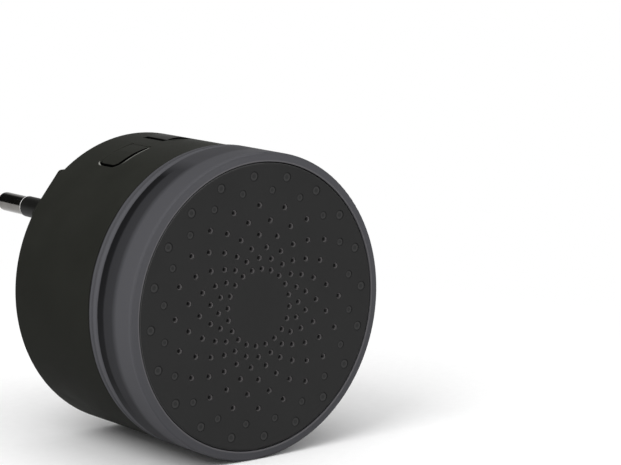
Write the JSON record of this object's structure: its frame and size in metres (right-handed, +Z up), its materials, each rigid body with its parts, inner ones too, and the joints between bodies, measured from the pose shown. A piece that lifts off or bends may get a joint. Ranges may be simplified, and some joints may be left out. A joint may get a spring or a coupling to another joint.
{
  "type": "plug-in doorbell chime",
  "caption": "Round black wall-socket chime with a perforated front, a smoke-grey light ring, a tongue key and a slide knob on its rim, and a two-pin plug behind.",
  "frame": {"origin": "centre of the plug face, midway between the two pins", "axes": "+Y into the wall along the pins, +Z up, the perforated front faces -Y"},
  "size_m": [0.061, 0.0775, 0.061],
  "materials": {
    "shell_black": "satin, faintly warm black ABS",
    "ring_smoke": "smoke-grey translucent polycarbonate",
    "grille_black": "fine matt black",
    "inner_black": "matt black",
    "knob_black": "satin black",
    "pin_nickel": "bright nickel on brass",
    "sleeve_black": "satin black insulation",
    "contact_brass": "bare rolled brass",
    "board_green": "green solder mask",
    "lamp_white": "white lamp body",
    "cloth_black": "black acoustic cloth",
    "gasket_grey": "grey foam",
    "frame_steel": "zinc-plated pressed steel",
    "surround_rubber": "black rubber",
    "cone_paper": "pressed black fibre",
    "winding_copper": "enamelled copper",
    "ferrite_grey": "sintered ferrite",
    "tape_yellow": "yellow polyester tape",
    "switch_black": "black nylon",
    "wire_red": "red insulation",
    "can_sleeve": "dark blue sleeve",
    "screw_steel": "zinc-plated steel"
  },
  "bodies": {
    "chime_body": {"main_housing": "shell_black", "rear_cover": "shell_black", "light_ring": "ring_smoke", "front_grille": "grille_black", "ring_carrier": "inner_black", "left_pin": "pin_nickel", "right_pin": "pin_nickel", "left_pin_sleeve": "sleeve_black", "right_pin_sleeve": "sleeve_black", "left_contact": "contact_brass", "right_contact": "contact_brass", "led_board": "board_green", "status_leds": "lamp_white", "dust_cloth": "cloth_black", "speaker_gasket": "gasket_grey", "speaker_frame": "frame_steel", "speaker_surround": "surround_rubber", "top_plate": "frame_steel", "ring_magnet": "ferrite_grey", "magnet_yoke": "frame_steel", "main_board": "board_green", "tact_switch": "switch_black", "slide_switch": "switch_black", "control_chip": "switch_black", "radio_module": "board_green", "antenna_wire": "wire_red", "transformer_core": "ferrite_grey", "transformer_coil": "tape_yellow", "filter_capacitor": "can_sleeve", "storage_capacitor": "can_sleeve", "film_capacitor": "tape_yellow", "fuse_resistor": "can_sleeve", "speaker_leads": "wire_red", "link_pins": "contact_brass", "front_screws": "screw_steel", "cover_screws": "screw_steel", "board_screws": "screw_steel"},
    "key": {"melody_key": "shell_black"},
    "plunger": {"tact_plunger": "switch_black"},
    "slider": {"slider_knob": "knob_black", "switch_lever": "switch_black"},
    "cone": {"speaker_cone": "cone_paper", "dust_cap": "cone_paper", "voice_coil": "winding_copper"}
  },
  "joints": [
    {"name": "melody_key_press", "type": "hinge", "parent": "chime_body", "child": "key", "pos_m": [-0.00695, -0.029, 0.01569], "axis": [0, -1, 0], "range_deg": [0, 2.8], "stiffness_Nm_per_rad": 0.05},
    {"name": "tact_plunger_press", "type": "slide", "parent": "chime_body", "child": "plunger", "axis": [0.4384, 0, -0.8988], "range_m": [0, 0.0003]},
    {"name": "volume_slide", "type": "slide", "parent": "chime_body", "child": "slider", "axis": [0.9997, 0, -0.0262], "range_m": [-0.001, 0.001]},
    {"name": "cone_stroke", "type": "slide", "parent": "chime_body", "child": "cone", "axis": [0, -1, 0], "range_m": [-0.0005, 0.0005], "stiffness_N_per_m": 3000}
  ],
  "couplings": [
    {"joint": "tact_plunger_press", "follows": "melody_key_press", "m_per_rad": 0.005976}
  ]
}
